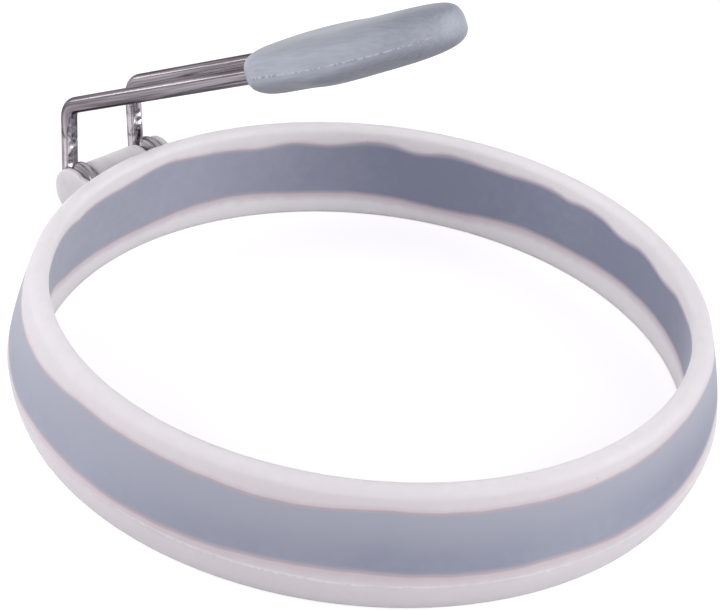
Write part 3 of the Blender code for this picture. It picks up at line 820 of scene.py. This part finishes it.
def ground_steel():
    """Ground steel rod: fine marks from the cut on its end, and dull between them."""
    mat, tree = new_material("ground_steel_rod")
    place = add(tree, "ShaderNodeTexCoord").outputs["Object"]
    marks = add(tree, "ShaderNodeTexNoise", {"Vector": place, "Scale": 1 / DRAW_WIDTH, "Detail": 3.0})
    rough = add(tree, "ShaderNodeMapRange", {"Value": marks.outputs["Fac"], "To Min": 0.28,
                "To Max": 0.48})
    shader = add(tree, "ShaderNodeBsdfPrincipled", {
        "Base Color": linear("#B4B0AE"), "Metallic": 1.0, "Roughness": rough.outputs["Result"]})
    add(tree, "ShaderNodeOutputMaterial", {"Surface": shader.outputs["BSDF"]})
    return mat


pin_steel = ground_steel()
for slot in frame["nodes"]["hinge_pin"].material_slots:
    slot.material = pin_steel

# Grip
#
# Blue-grey silicone moulded over the wire's closed end: wide across the two arms, thin the other way,
# and drawn to a long round nose, with the mould's parting line round it. Its back and underside are
# painted a shade deeper than its sides: painted shade.

GRIP_SETBACK = 0.0002
GRIP_SIDE_WALL = 0.0015
GRIP_SKIN = 0.0023
GRIP_NOSE = 0.0086
GRIP_LENGTH = WIRE_IN_GRIP - GRIP_SETBACK + WIRE_SPACING / 2 + WIRE_RADIUS + GRIP_NOSE
GRIP_WIDTH = WIRE_SPACING + 2 * WIRE_RADIUS + 2 * GRIP_SIDE_WALL
GRIP_THICKNESS = 2 * WIRE_RADIUS + 2 * GRIP_SKIN
GRIP_DROP = 0.0007
GRIP_SAG = 0.00035
GRIP_TILT = math.radians(2.33)
FULLEST_SHARE = 0.244
PLAN_POWERS = (2.0, 2.4)
SIDE_POWERS = (3.8, 5.35)
GRIP_RINGS = 200
GRIP_SEGMENTS = 240
SIDE_CROWD = 0.42
PARTING_SLOPE = 0.33
PARTING_START_SHARE = 0.25
UPPER_FULLNESS = (0.7, 2.2, 0.27, 0.15)
LOWER_FULLNESS = (0.25, 1.2, 0.53, 0.12)
FLASH_PROUD = 0.00005
FLASH_HALF = 0.00016
FLASH_START_SHARE = 0.125
GRIP_SCATTER = 0.0010
# Painted shade on the back and underside, and a little darkening towards the nose.
TOP_PAINTED_SHADE = 0.6
UNDER_PAINTED_SHADE = 1.2
NOSE_DARKENING = 0.3
GRIP_PIGMENT_NOISE = 0.15


def superellipse(share, power):
    """Half width of a unit superellipse at a share of its half length."""
    return (1 - np.clip(np.abs(share), 0, 1) ** power) ** (1 / power)


def fullness(share, shape):
    """How much squarer than an oval the sections are along the grip: a level plus one bell-shaped rise
    of (rise, place, width)."""
    level, rise, place, width = shape
    return level + rise * np.exp(-(((share - place) / width) ** 2))


def make_grip():
    """Oval sections along a straight axis; width and thickness each follow their own superellipse on
    both sides of the fullest section, and the axis bows up a little at both ends. The parting line
    starts at the middle and runs lower and lower towards the nose, and its flash carries painted
    glints. Above and below it a section is squarer than an oval by the grip's fullness there. The
    painted shade grows from none at the parting line to its most at the back and the underside, and
    the colour is a little darker towards the nose."""
    along = np.array((0, *ARM_DIRECTION))
    over = np.array((0, ARM_DIRECTION[1], -ARM_DIRECTION[0]))
    axis = along * math.cos(GRIP_TILT) + over * math.sin(GRIP_TILT)
    up = over * math.cos(GRIP_TILT) - along * math.sin(GRIP_TILT)
    foot = np.array(HINGE) + (0, *LEFT_ELBOW)
    start = foot + along * (GRIP_START + GRIP_SETBACK) - up * GRIP_DROP
    share = (1 - np.cos(np.linspace(0, math.pi, GRIP_RINGS))) / 2
    front = share < FULLEST_SHARE
    reach = np.where(front, 1 - share / FULLEST_SHARE, (share - FULLEST_SHARE) / (1 - FULLEST_SHARE))
    wide = np.where(front, *(superellipse(reach, power) for power in PLAN_POWERS)) * GRIP_WIDTH / 2
    thick = np.where(front, *(superellipse(reach, power) for power in SIDE_POWERS)) * GRIP_THICKNESS / 2
    lift = GRIP_SAG * (2 * share - 1) ** 2
    turn = np.linspace(0, 2 * math.pi, GRIP_SEGMENTS, endpoint=False)
    turn = turn - SIDE_CROWD * np.sin(2 * turn)
    upper = np.sin(turn) > 0
    above_it, below_it = (fullness(share, shape)[:, None] for shape in (UPPER_FULLNESS, LOWER_FULLNESS))
    power = 2 / (2 + np.where(upper, above_it, below_it))
    drop = PARTING_SLOPE * np.clip(share - PARTING_START_SHARE, 0, 1)[:, None]
    beside = np.sign(np.cos(turn)) * np.abs(np.cos(turn)) ** power * wide[:, None]
    half = thick[:, None] * np.where(upper, 1 + drop, 1 - drop)
    rise = np.sign(np.sin(turn)) * np.abs(np.sin(turn)) ** power * half
    above = rise - drop * thick[:, None]
    flash = FLASH_PROUD * np.clip(1 - np.abs(rise) / FLASH_HALF, 0, 1) * np.sign(beside)
    flash = flash * np.clip(wide / (GRIP_WIDTH * FLASH_START_SHARE) - 1, 0, 1)[:, None]
    line = start + axis * (share * GRIP_LENGTH)[:, None]
    points = (line[:, None, :] + up * (above + lift[:, None])[..., None]
              + np.array((1, 0, 0)) * (beside + flash)[..., None])
    piece = surface("grip_body", points, False, True)
    # Painted shade: deeper at the back and underside, and a little darker towards the nose.
    level = np.clip(np.abs(rise) / (GRIP_THICKNESS / 2), 0, 1)
    painted_shade = np.where(upper, TOP_PAINTED_SHADE * level ** 2, UNDER_PAINTED_SHADE * level)
    painted_shade = painted_shade + NOSE_DARKENING * share[:, None] ** 2
    set_layers(piece, {"flash_glint_share": np.abs(flash) / FLASH_PROUD, "painted_shade_share": painted_shade})
    face_outwards(piece, MERGE_DISTANCE)
    return piece


grip = make_grip()
# The flash's dashes are painted glints, and the deeper colour follows the painted shade.
grip_silicone = silicone(
    "blue_grey_grip_silicone", ("#B4B9C5", "#7F8390"), 0.42, 0.10, GRIP_SCATTER,
    flash_glint_colours=("#9599A6", "#C6CBD4"), streak_turn=ARM_ANGLE, pigment_noise=GRIP_PIGMENT_NOISE)
grip.data.materials.append(grip_silicone)
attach(grip, "handle")
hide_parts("grip")

# Camera
#
# A short telephoto lens from the front left, above the ring, turned a little clockwise.

PHOTO_WIDTH = 720
FOCAL_PIXELS = 1855
SENSOR = 36
CAMERA_DISTANCE = 0.27193
CAMERA_BEARING = math.radians(-141.53)
CAMERA_ELEVATION = 0.6094
CAMERA_YAW = 0.00593
CAMERA_PITCH = 0.03754
CAMERA_ROLL = -0.12141


def make_camera():
    """Looks at the ring's centre on the floor, then yaws, pitches and rolls by small angles."""
    data = bpy.data.cameras.new("photo_camera")
    data.sensor_width = SENSOR
    data.lens = SENSOR * FOCAL_PIXELS / PHOTO_WIDTH
    data.clip_start = CAMERA_DISTANCE / 20
    data.clip_end = CAMERA_DISTANCE * 40
    flat = math.cos(CAMERA_ELEVATION)
    back = Vector((
        flat * math.cos(CAMERA_BEARING), flat * math.sin(CAMERA_BEARING), math.sin(CAMERA_ELEVATION)))
    ahead = -back
    right = ahead.cross(Vector((0, 0, 1))).normalized()
    up = right.cross(ahead)
    yaw = Matrix.Rotation(CAMERA_YAW, 3, up)
    ahead, right = yaw @ ahead, yaw @ right
    pitch = Matrix.Rotation(CAMERA_PITCH, 3, right)
    ahead, up = pitch @ ahead, pitch @ up
    roll = Matrix.Rotation(CAMERA_ROLL, 3, ahead)
    right, up = roll @ right, roll @ up
    place = Vector((0, RING_Y, 0)) + back * CAMERA_DISTANCE
    camera = bpy.data.objects.new("photo_camera", data)
    camera.matrix_world = Matrix((
        (right.x, up.x, -ahead.x, place.x),
        (right.y, up.y, -ahead.y, place.y),
        (right.z, up.z, -ahead.z, place.z),
        (0, 0, 0, 1)))
    bpy.context.scene.collection.objects.link(camera)
    bpy.context.scene.camera = camera


make_camera()

# Floor
#
# A plain pale table. To the camera it is lifted to the photograph's white, most far from the lamps,
# and it keeps a soft shadow.

FLOOR_HALF = 2.0
FLOOR_DROP = 0.00005
FLOOR_LIFT = 0.63
FAR_LIFT = 0.95
NEAR_FLOOR = 0.25
FAR_FLOOR = 0.9


def seen_directly(tree):
    """1 for rays from the camera, or mirrored or passed straight on to it, else 0."""
    rays = add(tree, "ShaderNodeLightPath")
    seen = add(tree, "ShaderNodeMath", {0: rays.outputs["Is Camera Ray"],
               1: rays.outputs["Is Glossy Ray"]}, operation="MAXIMUM")
    seen = add(tree, "ShaderNodeMath", {0: seen.outputs[0], 1: rays.outputs["Is Transmission Ray"]},
               operation="MAXIMUM")
    return seen.outputs[0]


def make_floor():
    sweep = np.array([[(-FLOOR_HALF, -FLOOR_HALF, -FLOOR_DROP), (-FLOOR_HALF, FLOOR_HALF, -FLOOR_DROP)],
                      [(FLOOR_HALF, -FLOOR_HALF, -FLOOR_DROP), (FLOOR_HALF, FLOOR_HALF, -FLOOR_DROP)]])
    floor = surface("floor", sweep, False, False)
    mat, tree = new_material("pale_table")
    away = add(tree, "ShaderNodeVectorMath", {0: add(tree, "ShaderNodeTexCoord").outputs["Object"]},
               operation="LENGTH")
    level = add(tree, "ShaderNodeMapRange", {"Value": away.outputs["Value"], "From Min": NEAR_FLOOR,
                "From Max": FAR_FLOOR, "To Min": FLOOR_LIFT, "To Max": FAR_LIFT})
    lift = add(tree, "ShaderNodeMath", {0: seen_directly(tree), 1: level.outputs["Result"]},
               operation="MULTIPLY")
    matt = add(tree, "ShaderNodeBsdfDiffuse", {"Color": linear("#CECBCE")})
    glow = add(tree, "ShaderNodeEmission", {"Color": linear("#FFFFFF"), "Strength": lift.outputs[0]})
    both = add(tree, "ShaderNodeAddShader", {0: matt.outputs["BSDF"], 1: glow.outputs["Emission"]})
    add(tree, "ShaderNodeOutputMaterial", {"Surface": both.outputs["Shader"]})
    floor.data.materials.append(mat)


make_floor()

# Lights
#
# A dim room, a softbox behind the camera, two on the right, one on the left and one high at the back,
# and a narrow strip behind on the left that draws the bright line along the wire's arms.

ROOM_LEVEL = 0.22
AIM = Vector((0, RING_Y, WALL_TOP))
LIGHT_DISTANCE = 0.9
SOFTBOX_SIZE = 0.6
STRIP_LENGTH = 0.2
STRIP_DEPTH = 0.05


def softbox(name, turn, rise, width, depth, level, mirrored=True):
    """An area light that looks at the ring from a turn to the right of the camera and a rise over the
    floor, both in degrees; level is its brightness, where 1 is white. One that isn't mirrored leaves
    the wire to the strip."""
    data = bpy.data.lights.new(name, "AREA")
    data.shape = "RECTANGLE"
    data.size = width
    data.size_y = depth
    data.energy = level * math.pi * width * depth
    lamp = bpy.data.objects.new(name, data)
    flat = math.cos(math.radians(rise))
    side = CAMERA_BEARING + math.radians(turn)
    toward = Vector((flat * math.cos(side), flat * math.sin(side), math.sin(math.radians(rise))))
    lamp.visible_glossy = mirrored
    lamp.location = AIM + toward * LIGHT_DISTANCE
    lamp.rotation_euler = (-toward).to_track_quat("-Z", "Y").to_euler()
    bpy.context.scene.collection.objects.link(lamp)


def make_room():
    world = bpy.data.worlds.new("pale_room")
    world.use_nodes = True
    tree = world.node_tree
    tree.nodes.clear()
    white = add(tree, "ShaderNodeBackground", {"Color": linear("#FFFFFF"), "Strength": 1.0})
    room = add(tree, "ShaderNodeBackground", {"Color": linear("#F8F4F8"), "Strength": ROOM_LEVEL})
    both = add(tree, "ShaderNodeMixShader", {0: seen_directly(tree), 1: room.outputs[0],
               2: white.outputs[0]})
    add(tree, "ShaderNodeOutputWorld", {"Surface": both.outputs["Shader"]})
    bpy.context.scene.world = world


make_room()
softbox("front_softbox", 0, 32, SOFTBOX_SIZE, SOFTBOX_SIZE, 2.75)
softbox("right_softbox", 95, 20, SOFTBOX_SIZE, SOFTBOX_SIZE, 2.6)
softbox("right_high_softbox", 60, 32, SOFTBOX_SIZE, SOFTBOX_SIZE, 1.4)
softbox("left_softbox", -95, 20, SOFTBOX_SIZE, SOFTBOX_SIZE, 4.3, mirrored=False)
softbox("back_softbox", 180, 40, SOFTBOX_SIZE, SOFTBOX_SIZE, 1.1, mirrored=False)
softbox("strip_light", -115, 8, STRIP_LENGTH, STRIP_DEPTH, 4.8)

bpy.context.scene.view_settings.view_transform = "Standard"
